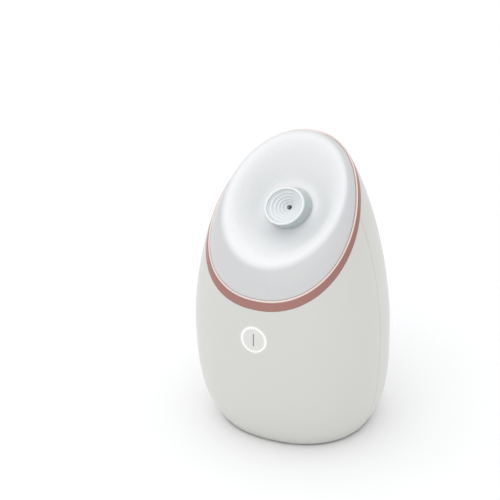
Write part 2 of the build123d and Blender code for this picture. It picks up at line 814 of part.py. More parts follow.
with BuildPart() as water_tank:
    add(tank_block(TANK_GAP, TANK_FRONT_Y))
    add(tub_limit, mode=Mode.INTERSECT)
    add(tank_block(TANK_GAP + TANK_WALL, TANK_FRONT_Y + TANK_WALL), mode=Mode.SUBTRACT)
    add(filler_neck.part)
    with BuildSketch(FILLER.offset(head_seat)):
        Circle(CAP_HEAD_R + CAP_CLEARANCE)
    extrude(amount=TANK_WALL + HEAD_THICKNESS, mode=Mode.SUBTRACT)
    with BuildSketch(FILLER.offset(head_seat)):
        Circle(FILLER_R)
    extrude(amount=-3 * TANK_WALL, mode=Mode.SUBTRACT)
    with BuildSketch(tank_plane(TANK_FRONT_Y + TANK_WALL / 2)):
        with Locations((OUTLET_X, outlet_down)):
            Circle(OUTLET_BOSS_R)
    extrude(amount=OUTLET_BOSS)
    with BuildSketch(tank_plane(TANK_FRONT_Y)):
        with Locations((OUTLET_X, outlet_down)):
            Circle(OUTLET_R)
    extrude(amount=2 * OUTLET_BOSS, mode=Mode.SUBTRACT)
save(water_tank, "water_tank")

grip_down = TANK_CENTRE_Z - GRIP_Z

with BuildPart() as grip_box:
    with BuildSketch(tank_plane(grip_y - GRIP_DEPTH - TANK_WALL)):
        with Locations((0, grip_down)):
            RectangleRounded(
                2 * (GRIP_HALF_WIDTH + TANK_WALL), GRIP_HEIGHT + 2 * TANK_WALL, GRIP_HEIGHT / 2
            )
    extrude(amount=2 * GRIP_DEPTH)
    add(egg_outer, mode=Mode.INTERSECT)

with BuildPart() as tank_back:
    add(tank_block(TANK_GAP, TANK_FRONT_Y))
    add(egg_outer, mode=Mode.INTERSECT)
    add(egg_inner, mode=Mode.SUBTRACT)
    add(grip_box.part)
    with BuildSketch(tank_plane(grip_y - GRIP_DEPTH)):
        with Locations((0, grip_down)):
            RectangleRounded(2 * GRIP_HALF_WIDTH, GRIP_HEIGHT, GRIP_HEIGHT / 3)
    extrude(amount=2 * GRIP_DEPTH, mode=Mode.SUBTRACT)
save(tank_back, "tank_back")

with BuildPart() as tank_cap:
    with BuildSketch(FILLER.offset(head_seat + WASHER)):
        Circle(CAP_HEAD_R)
    extrude(amount=HEAD_THICKNESS)
    chamfer(edges().filter_by(GeomType.CIRCLE).sort_by(Axis.Z)[-1], 0.5)
    with BuildSketch(FILLER.offset(head_seat + WASHER)):
        Circle(FILLER_R - RUNNING_GAP)
    extrude(amount=-CAP_PLUG)
    with BuildSketch(FILLER.offset(head_seat + WASHER + 1.2)):
        with Locations((0, CAP_HEAD_R / 2), (0, -CAP_HEAD_R / 2)):
            SlotOverall(1.3 * CAP_HEAD_R, CAP_HEAD_R / 2)
    extrude(amount=HEAD_THICKNESS, mode=Mode.SUBTRACT)
save(tank_cap, "tank_cap")

with BuildPart() as cap_washer:
    with BuildSketch(FILLER.offset(head_seat + 0.03)):
        Circle(CAP_HEAD_R - 0.3)
        Circle(FILLER_R + 0.02, mode=Mode.SUBTRACT)
    extrude(amount=WASHER - 0.03)
save(cap_washer, "cap_washer")

VALVE_START = TANK_FRONT_Y + 4.5
with BuildPart() as outlet_valve:
    with BuildSketch(tank_plane(VALVE_START)):
        with Locations((OUTLET_X, outlet_down)):
            Circle(OUTLET_R)
    extrude(amount=OUTLET_BOSS)
    with BuildSketch(tank_plane(VALVE_START)):
        with Locations((OUTLET_X, outlet_down)):
            Circle(OUTLET_R / 2)
    extrude(amount=OUTLET_BOSS, taper=8, mode=Mode.SUBTRACT)
save(outlet_valve, "outlet_valve")

SPIGOT_NOSE = 3.0
BARB_LENGTH = 9.0
INLET = Plane(origin=(OUTLET_X, bay_front_y, OUTLET_Z), x_dir=(1, 0, 0), z_dir=(0, 1, 0))
inlet_spigot = turned(
    [
        (BARB_BORE_R, TANK_GAP + SPIGOT_NOSE),
        (SPIGOT_TIP_R - 0.5, TANK_GAP + SPIGOT_NOSE),
        (SPIGOT_TIP_R, TANK_GAP + SPIGOT_NOSE - 0.8),
        (SPIGOT_TIP_R, -BAY_WALL),
        (OUTLET_BOSS_R, -BAY_WALL),
        (OUTLET_BOSS_R, -BAY_WALL - 1.6),
        (BARB_R, -BAY_WALL - 1.6),
        (BARB_R, -BAY_WALL - BARB_LENGTH),
        (BARB_BORE_R, -BAY_WALL - BARB_LENGTH),
    ],
    INLET,
)
save(inlet_spigot, "inlet_spigot")

HOSE_BEND_R = 5.5
HOSE_OVERLAP = 5.0
HOSE_X = 27.0
hose_start = (OUTLET_X, bay_front_y - BAY_WALL - BARB_LENGTH + HOSE_OVERLAP, OUTLET_Z)
hose_points = [
    hose_start,
    (OUTLET_X, 10.0, OUTLET_Z),
    (HOSE_X + 6.5, BOILER_Y, OUTLET_Z - 8),
    (HOSE_X + 6.5, BOILER_Y, FEED_Z),
    (BOILER_R + 1.0, BOILER_Y, FEED_Z),
]
with BuildPart() as feed_hose:
    with BuildLine() as hose_path:
        FilletPolyline(*hose_points, radius=HOSE_BEND_R)
    with BuildSketch(Plane(origin=hose_start, z_dir=(0, -1, 0))):
        Circle(HOSE_R)
        Circle(BARB_R + 0.05, mode=Mode.SUBTRACT)
    sweep()
save(feed_hose, "feed_hose")

# Power button --------------------------------------------------------------------

BUTTON_FRONT = 1.0
button_back = -LIGHT_RING_DEPTH
FLANGE_THICKNESS = 1.0
PUSHER_R = 2.0
PLUNGER_R = 1.6
PLUNGER_LENGTH = 1.6
pusher_end = button_back - 2.0

with BuildPart() as button_ring:
    with BuildSketch(BUTTON.offset(BUTTON_FRONT)):
        Circle(LIGHT_RING_R)
        Circle(BUTTON_R + RUNNING_GAP, mode=Mode.SUBTRACT)
    extrude(amount=button_back - BUTTON_FRONT)
    add(egg_outer, mode=Mode.INTERSECT)
    with BuildSketch(BUTTON.offset(-WALL - 1.6)):
        Circle(LIGHT_RING_R + 2.0)
        Circle(BUTTON_R + RUNNING_GAP, mode=Mode.SUBTRACT)
    extrude(amount=-1.5)
save(button_ring, "button_ring")

with BuildPart() as mark_bar:
    with BuildSketch(BUTTON.offset(BUTTON_FRONT)):
        SlotOverall(MARK_LENGTH, MARK_WIDTH, rotation=90)
    extrude(amount=-2 * BUTTON_FRONT - 0.5)

with BuildPart() as power_button:
    with BuildSketch(BUTTON.offset(BUTTON_FRONT)):
        Circle(BUTTON_R)
    extrude(amount=button_back - BUTTON_FRONT - 0.1)
    add(egg_outer, mode=Mode.INTERSECT)
    with BuildSketch(BUTTON.offset(button_back - 0.1)):
        Circle(BUTTON_FLANGE_R)
    extrude(amount=-FLANGE_THICKNESS)
    with BuildSketch(BUTTON.offset(button_back - 0.1 - FLANGE_THICKNESS)):
        Circle(BUTTON_R - 1.5)
    extrude(amount=LIGHT_RING_DEPTH - 1.0, mode=Mode.SUBTRACT)
    with BuildSketch(BUTTON.offset(-2.0)):
        Circle(PUSHER_R)
    extrude(amount=pusher_end + 2.0)
    add(mark_bar.part, mode=Mode.SUBTRACT)
save(power_button, "power_button")

with BuildPart() as button_mark:
    add(mark_bar.part)
    add(egg_outer, mode=Mode.INTERSECT)
save(button_mark, "button_mark")

# Electronics -----------------------------------------------------------------------

BOARD = Plane(origin=(0, BOARD_Y, BUTTON_Z), x_dir=(1, 0, 0), z_dir=(0, -1, 0))
SWITCH_SIZE = 6.2
SWITCH_HEIGHT = 3.2
LAMP_RADIUS = 9.3
LAMP_COUNT = 8
LAMP_SIZE = 1.6
LAMP_HEIGHT = 1.0
BOARD_SCREW_HEAD_R = 2.4
BOARD_SCREW_HEAD = 1.6
board_spots = [(x, dz) for x in (-POST_X, POST_X) for dz in (-POST_Z, POST_Z)]

with BuildPart() as control_board:
    with BuildSketch(BOARD):
        RectangleRounded(2 * BOARD_HALF_WIDTH, BOARD_HEIGHT, 2)
        with Locations(*board_spots):
            Circle(POST_HOLE_R + 0.3, mode=Mode.SUBTRACT)
    extrude(amount=-BOARD_THICKNESS)
save(control_board, "control_board")

with BuildPart() as board_screws:
    with BuildSketch(BOARD.offset(-BOARD_THICKNESS)):
        with Locations(*board_spots):
            Circle(BOARD_SCREW_HEAD_R)
    extrude(amount=-BOARD_SCREW_HEAD)
    with BuildSketch(BOARD.offset(-BOARD_THICKNESS - BOARD_SCREW_HEAD)):
        with Locations(*board_spots):
            Rectangle(BOARD_SCREW_HEAD_R * 1.4, 0.6)
            Rectangle(0.6, BOARD_SCREW_HEAD_R * 1.4)
    extrude(amount=0.8, mode=Mode.SUBTRACT)
    with BuildSketch(BOARD.offset(-BOARD_THICKNESS)):
        with Locations(*board_spots):
            Circle(POST_HOLE_R - 0.05)
    extrude(amount=BOARD_THICKNESS + 2 * WALL - 0.5)
save(board_screws, "board_screws")

with BuildPart() as lamps:
    with BuildSketch(BOARD):
        with PolarLocations(LAMP_RADIUS, LAMP_COUNT):
            Rectangle(LAMP_SIZE, LAMP_SIZE)
    extrude(amount=LAMP_HEIGHT)
save(lamps, "lamps")

with BuildPart() as tact_switch:
    with BuildSketch(BOARD):
        Rectangle(SWITCH_SIZE, SWITCH_SIZE)
    extrude(amount=SWITCH_HEIGHT)
    chamfer(edges().filter_by(Axis.Y), 0.5)
    with BuildSketch(BUTTON.offset(pusher_end)):
        Circle(PLUNGER_R + RUNNING_GAP)
    extrude(amount=-SWITCH_HEIGHT - 1.0, mode=Mode.SUBTRACT)
save(tact_switch, "tact_switch")

with BuildPart() as switch_plunger:
    with BuildSketch(BUTTON.offset(pusher_end)):
        Circle(PLUNGER_R)
    extrude(amount=-PLUNGER_LENGTH)
save(switch_plunger, "switch_plunger")

SUPPLY_X = 0.0
SUPPLY_Y = -31.0
SUPPLY_HEIGHT = 6.0
SUPPLY_LENGTH = 44.0
SUPPLY_WIDTH = 20.0
SUPPLY = Plane(origin=(SUPPLY_X, SUPPLY_Y, plate_top), x_dir=(1, 0, 0), z_dir=(0, 0, 1))
board_level = SUPPLY_HEIGHT + BOARD_THICKNESS

with BuildPart() as supply_board:
    with BuildSketch(SUPPLY):
        with GridLocations(SUPPLY_LENGTH - 6, SUPPLY_WIDTH - 6, 2, 2):
            Circle(2.2)
    extrude(amount=SUPPLY_HEIGHT)
    with BuildSketch(SUPPLY.offset(SUPPLY_HEIGHT)):
        RectangleRounded(SUPPLY_LENGTH, SUPPLY_WIDTH, 1.5)
    extrude(amount=BOARD_THICKNESS)
save(supply_board, "supply_board")

with BuildPart() as relay:
    with BuildSketch(SUPPLY.offset(board_level)):
        with Locations((-12, 1)):
            Rectangle(19, 15)
    extrude(amount=15.5)
    fillet(edges().group_by(Axis.Z)[-1], 0.6)
save(relay, "relay")

TERMINALS = 3
with BuildPart() as terminal_block:
    with BuildSketch(SUPPLY.offset(board_level)):
        with Locations((13, 0)):
            Rectangle(TERMINALS * 5.0, 8)
    extrude(amount=10)
    with BuildSketch(SUPPLY.offset(board_level + 10)):
        with Locations((13, 0)):
            with GridLocations(5.0, 1, TERMINALS, 1):
                Circle(1.8)
    extrude(amount=-4, mode=Mode.SUBTRACT)
save(terminal_block, "terminal_block")

# Base ---------------------------------------------------------------------------

PLATE_CLEARANCE = 0.3
FOOT_SINK = 1.0
foot_top = SHELL_BOTTOM + FOOT_SINK
base_centre_y = centre_y(SHELL_BOTTOM)
all_boss_spots = boss_spots(FRONT_BOSS_ANGLES) + boss_spots(REAR_BOSS_ANGLES)
foot_spots = [
    (x, base_centre_y + y)
    for x in (-FOOT_SPREAD_X, FOOT_SPREAD_X)
    for y in (-FOOT_SPREAD_Y, FOOT_SPREAD_Y)
]

with BuildPart() as base_plate:
    with BuildSketch(Plane.XY.offset(SHELL_BOTTOM)):
        with BuildLine():
            Spline(*section_points(SHELL_BOTTOM, WALL + PLATE_CLEARANCE), periodic=True)
        make_face()
    extrude(amount=PLATE_THICKNESS)
    with BuildSketch(Plane.XY.offset(SHELL_BOTTOM)):
        with Locations(*all_boss_spots):
            Circle(SCREW_R + 0.2)
    extrude(amount=PLATE_THICKNESS, mode=Mode.SUBTRACT)
    with BuildSketch(Plane.XY.offset(SHELL_BOTTOM)):
        with Locations(*all_boss_spots):
            Circle(SCREW_HEAD_R + 0.3)
    extrude(amount=PLATE_THICKNESS / 2, mode=Mode.SUBTRACT)
    with BuildSketch(Plane.XY.offset(SHELL_BOTTOM)):
        with Locations(*foot_spots):
            Circle(FOOT_R)
    extrude(amount=FOOT_SINK, mode=Mode.SUBTRACT)
save(base_plate, "base_plate")

with BuildPart() as feet:
    with BuildSketch(Plane.XY):
        with Locations(*foot_spots):
            Circle(FOOT_R)
    extrude(amount=foot_top)
    chamfer(edges().group_by(Axis.Z)[0], 0.4)
save(feet, "feet")

HEAD_HEIGHT = 1.3
SCREW_REACH = 9.0
head_bottom = SHELL_BOTTOM + PLATE_THICKNESS / 2 - HEAD_HEIGHT
with BuildPart() as base_screws:
    with BuildSketch(Plane.XY.offset(head_bottom)):
        with Locations(*all_boss_spots):
            Circle(SCREW_HEAD_R)
    extrude(amount=HEAD_HEIGHT)
    with BuildSketch(Plane.XY.offset(head_bottom)):
        with Locations(*all_boss_spots):
            Rectangle(SCREW_HEAD_R * 1.3, 0.6)
            Rectangle(0.6, SCREW_HEAD_R * 1.3)
    extrude(amount=0.7, mode=Mode.SUBTRACT)
    with BuildSketch(Plane.XY.offset(head_bottom + HEAD_HEIGHT)):
        with Locations(*all_boss_spots):
            Circle(SCREW_R - 0.05)
    extrude(amount=SCREW_REACH)
save(base_screws, "base_screws")
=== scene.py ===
"""Looks for a countertop facial steamer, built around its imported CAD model."""

import json
from math import cos, pi, radians, sin

import bpy
from mathutils import Matrix, Vector


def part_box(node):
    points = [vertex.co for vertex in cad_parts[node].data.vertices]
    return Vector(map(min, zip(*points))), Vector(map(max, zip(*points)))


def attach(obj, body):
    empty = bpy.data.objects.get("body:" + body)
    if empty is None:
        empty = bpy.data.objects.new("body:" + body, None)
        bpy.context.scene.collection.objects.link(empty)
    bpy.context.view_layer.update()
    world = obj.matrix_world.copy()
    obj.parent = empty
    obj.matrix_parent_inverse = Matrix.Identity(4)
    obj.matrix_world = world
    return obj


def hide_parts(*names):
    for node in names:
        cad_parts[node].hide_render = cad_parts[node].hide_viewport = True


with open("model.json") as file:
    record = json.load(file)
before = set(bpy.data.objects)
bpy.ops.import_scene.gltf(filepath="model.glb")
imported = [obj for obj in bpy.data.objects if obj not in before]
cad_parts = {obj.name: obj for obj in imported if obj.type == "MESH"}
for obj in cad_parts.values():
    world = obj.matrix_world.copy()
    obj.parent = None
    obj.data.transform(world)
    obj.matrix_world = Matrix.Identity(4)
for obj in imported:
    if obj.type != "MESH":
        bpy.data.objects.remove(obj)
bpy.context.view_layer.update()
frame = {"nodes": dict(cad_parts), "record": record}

bl_info = {
    "name": "Facial Steamer",
    "version": (1, 0, 0),
    "blender": (4, 5, 0),
    "location": "View3D > Sidebar > Steamer",
    "description": "Models the shells, ring, dished top, nozzle, button and tank of a facial steamer",
    "category": "Object",
}

MM = 0.001

# The egg body, in millimetres: the same formula that its shells were cut from
BODY_HALF_WIDTH = 73.0
DEPTH_RATIO = 0.912
SQUARENESS = 2.2
WIDEST_Z = 79.5
UPPER_RISE = 160.0
UPPER_POWER = 1.78
UPPER_ROOT = 0.547
LOWER_RISE = 106.9
LOWER_POWER = 3.33
CENTRE_Y = -0.77
LEAN = -0.0445
LEAN_CURVE = 0.000673
SHELL_BOTTOM = 1.2
SEAM_Y = -6.3
EGG_TOP = 236.0
SHEET_COLUMNS = 120
SHEET_ROWS = 90

# Openings in the shells
BUTTON_HOLE_R = 10.05
BUTTON_TILT = 2.75
BUTTON_CUT_DEPTH = 30.0
TANK_GAP = 0.35
TANK_CORNER = 12.0
TANK_CUT_DEPTH = 90.0
TANK_CUT_Y = 65.0

# The tilted cut that carries the ring and the dished top
CUT_ANGLE = radians(44.4)
CUT_CENTRE_Y = -14.62
CUT_CENTRE_Z = 168.3
NOZZLE_UP = 10.76
DISH_FLOOR = -3.1
JOINT_GAP = 0.15
DISH_SKIN = 2.0
DISH_HOLE_R = 14.6
SKIRT_STEPS = 24
BOWL_STEPS = 26
FLOOR_RADIUS = 19.0
SKIRT_FULLNESS = 1.25
BOWL_FLARE = 1.1
RING_SEGMENTS = 192
RING_FACES = 6
RING_TURNS = 5

# The nozzle, by radius and height above the dished top's plane
NOZZLE_FOOT_R = 16.5
NOZZLE_RIM_R = 14.9
NOZZLE_FOOT = -2.75
NOZZLE_RIM = 9.2
NOZZLE_WALL = 1.8
NOZZLE_INNER_FOOT = -1.4
NOZZLE_SEGMENTS = 96
RIM_STEPS = 6
STEAM_HOLE_R = 2.0
STEAM_TUBE = -9.0
NOZZLE_LEAN = -0.34
FUNNEL_STEPS = ((12.6, 7.6), (10.4, 5.8), (8.2, 4.0), (6.2, 2.4), (4.3, 0.9))
FUNNEL_FLOOR = -0.6

# The power button's light
BUTTON_Z = 96.2
GLOW_R = 9.35
GLOW_WIDTH = 0.95
GLOW = 0.3

# Finishes
CLOUD_SCALE = 14.0
GRAIN_SCALE = 1500.0
GRAIN_HEIGHT = 0.012
BRUSH = (900.0, 900.0, 60.0)

# The stage
FLOOR_SIZE = 60.0
ROOM_LIGHT = 0.76
TOP_LIGHT = 0.85
FRONT_LIGHT = 0.25
BACKDROP = 1.05

# The camera
CAMERA_AZIMUTH = radians(24.755)
CAMERA_ELEVATION = radians(26.272)
CAMERA_DISTANCE = 849.8
CAMERA_TARGET_Z = 100.0
CAMERA_LENS = 81.47
CAMERA_SHIFT = (-0.0857, 0.0948)


# ---------------------------------------------------------------- egg formulas


def half_width(z):
    """Half width of the egg at height z."""
    if z > WIDEST_Z:
        rise = (z - WIDEST_Z) / UPPER_RISE
        return BODY_HALF_WIDTH * max(1 - rise**UPPER_POWER, 0.0) ** UPPER_ROOT
    drop = (WIDEST_Z - z) / LOWER_RISE
    return BODY_HALF_WIDTH * (1 - drop**LOWER_POWER) ** 0.5


def centre_y(z):
    """Y of the middle of the egg's section at height z."""
    rise = z - WIDEST_Z
    return CENTRE_Y + LEAN * rise + LEAN_CURVE * rise * rise


def outside_egg(x, y, z):
    """Whether a point lies outside the egg."""
    across = half_width(z)
    if across <= 0:
        return True
    side = abs(x / across) ** SQUARENESS
    deep = abs((y - centre_y(z)) / (DEPTH_RATIO * across)) ** SQUARENESS
    return side + deep > 1


def bisect(low, high, beyond, tolerance=0.0005):
    """Value between low and high where beyond(value) turns true."""
    while high - low > tolerance:
        middle = (low + high) / 2
        if beyond(middle):
            high = middle
        else:
            low = middle
    return low


def wall_reach(z, angle, axis_y):
    """Distance from the upright axis at (0, axis_y) to the egg's wall."""
    return bisect(
        0.0, 2 * BODY_HALF_WIDTH,
        lambda r: outside_egg(r * cos(angle), axis_y + r * sin(angle), z),
    )


def from_cut(u, v, h):
    """Body coordinates of a point given on the tilted cut: u across, v up the slope, h above it."""
    y = CUT_CENTRE_Y + v * cos(CUT_ANGLE) - h * sin(CUT_ANGLE)
    z = CUT_CENTRE_Z + v * sin(CUT_ANGLE) + h * cos(CUT_ANGLE)
    return (u, y, z)


def above_cut(y, z):
    """Height of a point over the tilted cut."""
    return (z - CUT_CENTRE_Z) * cos(CUT_ANGLE) - (y - CUT_CENTRE_Y) * sin(CUT_ANGLE)


def cut_reach(h, angle):
    """Distance from the ring's centre to the egg's wall in the plane h above the cut."""
    return bisect(
        0.0, 1.2 * BODY_HALF_WIDTH,
        lambda r: outside_egg(*from_cut(r * cos(angle), r * sin(angle), h)),
    )


CUT_FRAME = Matrix((
    (1, 0, 0, 0),
    (0, cos(CUT_ANGLE), -sin(CUT_ANGLE), CUT_CENTRE_Y * MM),
    (0, sin(CUT_ANGLE), cos(CUT_ANGLE), CUT_CENTRE_Z * MM),
    (0, 0, 0, 1),
))
NOZZLE_FRAME = CUT_FRAME @ Matrix.Translation((0, NOZZLE_UP * MM, 0))


# ------------------------------------------------------------- modelling helpers


def clear_selection():
    if bpy.context.object and bpy.context.object.mode != "OBJECT":
        bpy.ops.object.mode_set(mode="OBJECT")
    bpy.ops.object.select_all(action="DESELECT")


def take_new(name):
    piece = bpy.context.object
    piece.name = name
    piece.data.name = name
    return piece


def stack_rings(name, corners):
    """Hollow form raised ring by ring from (radius, height) corners in millimetres.

    Each ring moves down the slope as it rises, so that the form leans.
    """
    clear_selection()
    rings = [(radius, NOZZLE_LEAN * (height - NOZZLE_FOOT), height) for radius, height in corners]
    radius, shift, height = rings[0]
    bpy.ops.mesh.primitive_circle_add(vertices=NOZZLE_SEGMENTS, radius=MM, fill_type="NOTHING")
    piece = take_new(name)
    bpy.ops.object.mode_set(mode="EDIT")
    bpy.ops.transform.resize(value=(radius, radius, 1))
    bpy.ops.transform.translate(value=(0, shift * MM, height * MM))
    for wide, move, level in rings[1:]:
        bpy.ops.mesh.extrude_edges_move()
        centre = (0, shift * MM, height * MM)
        growth = wide / radius
        bpy.ops.transform.resize(value=(growth, growth, 1), center_override=centre)
        bpy.ops.transform.translate(value=(0, (move - shift) * MM, (level - height) * MM))
        radius, shift, height = wide, move, level
    bpy.ops.object.mode_set(mode="OBJECT")
    return piece


def close_loop(piece):
    """Joins the first and last rings of a stack into one closed wall."""
    use(piece)
    bpy.ops.object.mode_set(mode="EDIT")
    bpy.ops.mesh.select_all(action="DESELECT")
    bpy.ops.mesh.select_non_manifold()
    bpy.ops.mesh.bridge_edge_loops()
    bpy.ops.mesh.select_all(action="SELECT")
    bpy.ops.mesh.normals_make_consistent(inside=False)
    bpy.ops.object.mode_set(mode="OBJECT")


def place(piece, matrix):
    """Moves the mesh by matrix, leaving the object itself at the origin."""
    piece.data.transform(matrix)
    piece.matrix_world = Matrix.Identity(4)
    piece.data.update()


def use(piece):
    """Makes a piece the only one selected, and active."""
    clear_selection()
    piece.select_set(True)
    bpy.context.view_layer.objects.active = piece


def modify(piece, kind, **settings):
    """Adds a modifier and applies it."""
    use(piece)
    mod = piece.modifiers.new(kind.title(), kind)
    for key, value in settings.items():
        setattr(mod, key, value)
    bpy.ops.object.modifier_apply(modifier=mod.name)


def smooth(piece, angle):
    use(piece)
    bpy.ops.object.shade_smooth_by_angle(angle=radians(angle))


def fix_normals(piece):
    use(piece)
    bpy.ops.object.mode_set(mode="EDIT")
    bpy.ops.mesh.select_all(action="SELECT")
    bpy.ops.mesh.remove_doubles(threshold=0.000005)
    bpy.ops.mesh.normals_make_consistent(inside=False)
    bpy.ops.object.mode_set(mode="OBJECT")


def finish_piece(piece, body, slot, material, *nodes):
    piece.data.materials.clear()
    piece.data.materials.append(material)
    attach(piece, body)
    if nodes:
        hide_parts(*nodes)


# ------------------------------------------------------------------ shader maths


class Value:
    """A number socket that can be used in a Python expression."""

    def __init__(self, tree, socket):
        self.tree = tree
        self.socket = socket

    def combine(self, operation, *others):
        """Result of a Math node on the given numbers and sockets."""
        node = self.tree.nodes.new("ShaderNodeMath")
        node.operation = operation
        for index, item in enumerate(others):
            if isinstance(item, Value):
                self.tree.links.new(item.socket, node.inputs[index])
            else:
                node.inputs[index].default_value = item
        return Value(self.tree, node.outputs[0])

    def __add__(self, other):
        return self.combine("ADD", self, other)

    __radd__ = __add__

    def __mul__(self, other):
        return self.combine("MULTIPLY", self, other)

    __rmul__ = __mul__

    def __sub__(self, other):
        return self.combine("SUBTRACT", self, other)

    def __rsub__(self, other):
        return self.combine("SUBTRACT", other, self)

    def clamp(self):
        """The number held between 0 and 1."""
        return self.combine("MAXIMUM", self.combine("MINIMUM", self, 1.0), 0.0)

    def apply(self, operation):
        """Result of a one-sided Math node on this number."""
        return self.combine(operation, self)


class Finish:
    """A material with a Principled shader, and one method that makes its other nodes."""

    def __init__(self, name, color, **constants):
        self.material = bpy.data.materials.new(name)
        self.material.use_nodes = True
        self.tree = self.material.node_tree
        self.shader = self.tree.nodes["Principled BSDF"]
        self.color = (*color[:3], 1)
        self.shader.inputs["Base Color"].default_value = self.color
        for socket, value in constants.items():
            self.shader.inputs[socket.replace("_", " ")].default_value = value

    def node(self, kind, settings=None, **inputs):
        made = self.tree.nodes.new("ShaderNode" + kind)
        for key, value in (settings or {}).items():
            setattr(made, key, value)
        for key, value in inputs.items():
            socket = made.inputs[key.replace("_", " ")]
            self.feed(socket, value)
        return made

    def feed(self, socket, value):
        if isinstance(value, Value):
            self.tree.links.new(value.socket, socket)
        elif isinstance(value, bpy.types.NodeSocket):
            self.tree.links.new(value, socket)
        else:
            socket.default_value = value

    def value(self, socket):
        return Value(self.tree, socket)

    def place(self):
        return self.node("TexCoord").outputs["Object"]

    def noise(self, scale, detail=3.0, roughness=0.5):
        made = self.node(
            "TexNoise", None, Vector=self.place(), Scale=scale, Detail=detail, Roughness=roughness
        )
        return self.value(made.outputs[0])

    def above_cut(self):
        """Height over the tilted cut, in millimetres."""
        parts = self.node("SeparateXYZ", None, Vector=self.place())
        depth, height = self.value(parts.outputs[1]), self.value(parts.outputs[2])
        rise = (height - CUT_CENTRE_Z * MM) * cos(CUT_ANGLE)
        return (rise - (depth - CUT_CENTRE_Y * MM) * sin(CUT_ANGLE)) * (1 / MM)

    def mix(self, first, second, factor):
        """Colour socket between two colours, by a factor."""
        made = self.node("Mix", {"data_type": "RGBA"})
        for index, value in ((0, factor), (6, first), (7, second)):
            self.feed(made.inputs[index], value)
        return made.outputs[2]

    def tint(self, other, factor):
        """Base colour mixed towards another colour by a factor."""
        mixed = self.mix(self.color, (*other[:3], 1), factor)
        self.feed(self.shader.inputs["Base Color"], mixed)
        return mixed

    def darken(self, share, factor):
        """Base colour mixed towards a darker share of itself."""
        return self.tint(tuple(c * share for c in self.color), factor)

    def rough(self, base, spread, pattern):
        """Roughness round a base value, spread by a pattern."""
        self.feed(self.shader.inputs["Roughness"], pattern * spread + (base - spread / 2))

    def bump(self, pattern, height):
        """Surface relief from a pattern, its height in millimetres."""
        node = self.node("Bump", None, Distance=height * MM, Height=pattern)
        self.tree.links.new(node.outputs[0], self.shader.inputs["Normal"])


def linear(red, green, blue):
    """Scene colour of an 8-bit display colour."""

    def channel(value):
        value /= 255
        return value / 12.92 if value <= 0.04045 else ((value + 0.055) / 1.055) ** 2.4

    return (channel(red), channel(green), channel(blue))


def moulded(name, color, rough, coat=0.0, glow=0.0):
    """Moulded plastic: faint clouding in the colour, uneven gloss and a fine skin."""
    finish = Finish(name, color, Coat_Weight=coat, Coat_Roughness=0.08)
    cloud = finish.noise(CLOUD_SCALE)
    skin = finish.noise(GRAIN_SCALE, 2.0, 0.6)
    finish.darken(0.86, cloud * 0.2)
    finish.rough(rough, 0.08, cloud + skin * 0.3)
    finish.bump(skin, GRAIN_HEIGHT)
    if glow:
        add_glow(finish, glow)
    return finish.material


def satin_metal(name, color, rough):
    """Metal or metal-look plating with fine brushing and cloudy gloss."""
    finish = Finish(name, color, Metallic=1.0)
    mapping = finish.node("Mapping", None, Vector=finish.place(), Scale=BRUSH)
    lines = finish.node("TexNoise", None, Vector=mapping.outputs[0], Scale=1.0, Detail=3.0)
    streak = finish.value(lines.outputs[0])
    finish.darken(0.8, finish.noise(30.0, 2.0) * 0.35)
    finish.rough(rough, 0.12, streak)
    finish.bump(streak, 0.006)
    return finish.material


def rubbery(name, color, rough=0.6):
    """Soft matt rubber or silicone."""
    finish = Finish(name, color, Sheen_Weight=0.15)
    skin = finish.noise(700.0, 4.0, 0.65)
    finish.darken(0.7, finish.noise(25.0) * 0.3)
    finish.rough(rough, 0.15, skin)
    finish.bump(skin, 0.03)
    return finish.material


def clear_plastic(name, color, rough, transmission):
    """Clear moulded plastic with faint flow haze."""
    finish = Finish(name, color, Transmission_Weight=transmission, IOR=1.46)
    haze = finish.noise(60.0)
    finish.darken(0.85, haze * 0.25)
    finish.rough(rough, 0.06, haze)
    finish.bump(finish.noise(400.0, 2.0), 0.008)
    return finish.material


def circuit_board(name, color):
    """Green solder mask over copper traces."""
    finish = Finish(name, color)
    cells = finish.node(
        "TexBrick", {"offset": 0.5}, Vector=finish.place(), Scale=130.0, Mortar_Size=0.08
    )
    traces = finish.value(cells.outputs[1])
    finish.tint(linear(60, 140, 80), traces * 0.7)
    finish.rough(0.35, 0.1, finish.noise(200.0))
    finish.bump(traces, 0.03)
    return finish.material


def add_glow(finish, strength):
    """Soft lit circle round the power button, as light shows through thin plastic."""
    parts = finish.node("SeparateXYZ", None, Vector=finish.place())
    across, height = finish.value(parts.outputs[0]), finish.value(parts.outputs[2])
    rise = height - BUTTON_Z * MM
    reach = (across * across + rise * rise).apply("SQRT")
    away = (reach * (1 / MM) - GLOW_R) * (1 / GLOW_WIDTH)
    lit = (away * away * -1.0).apply("EXPONENT")
    finish.feed(finish.shader.inputs["Emission Color"], finish.mix((0, 0, 0, 1), (1, 1, 1, 1), lit))
    finish.shader.inputs["Emission Strength"].default_value = strength


def glowing(name, color, strength):
    """Lit lens of an indicator lamp."""
    finish = Finish(name, color, Roughness=0.3, Emission_Strength=strength)
    mixed = finish.darken(0.9, finish.noise(120.0, 2.0) * 0.2)
    finish.feed(finish.shader.inputs["Emission Color"], mixed)
    finish.bump(finish.noise(900.0, 2.0), 0.006)
    return finish.material


# ----------------------------------------------------------- sizes and colours


def size_prop(name, text, value):
    return bpy.props.FloatProperty(
        name=name, description=text, default=value * MM, unit="LENGTH", precision=4
    )


def color_prop(name, text, red, green, blue):
    return bpy.props.FloatVectorProperty(
        name=name, description=text, subtype="COLOR", size=3, min=0, max=1,
        default=linear(red, green, blue),
    )


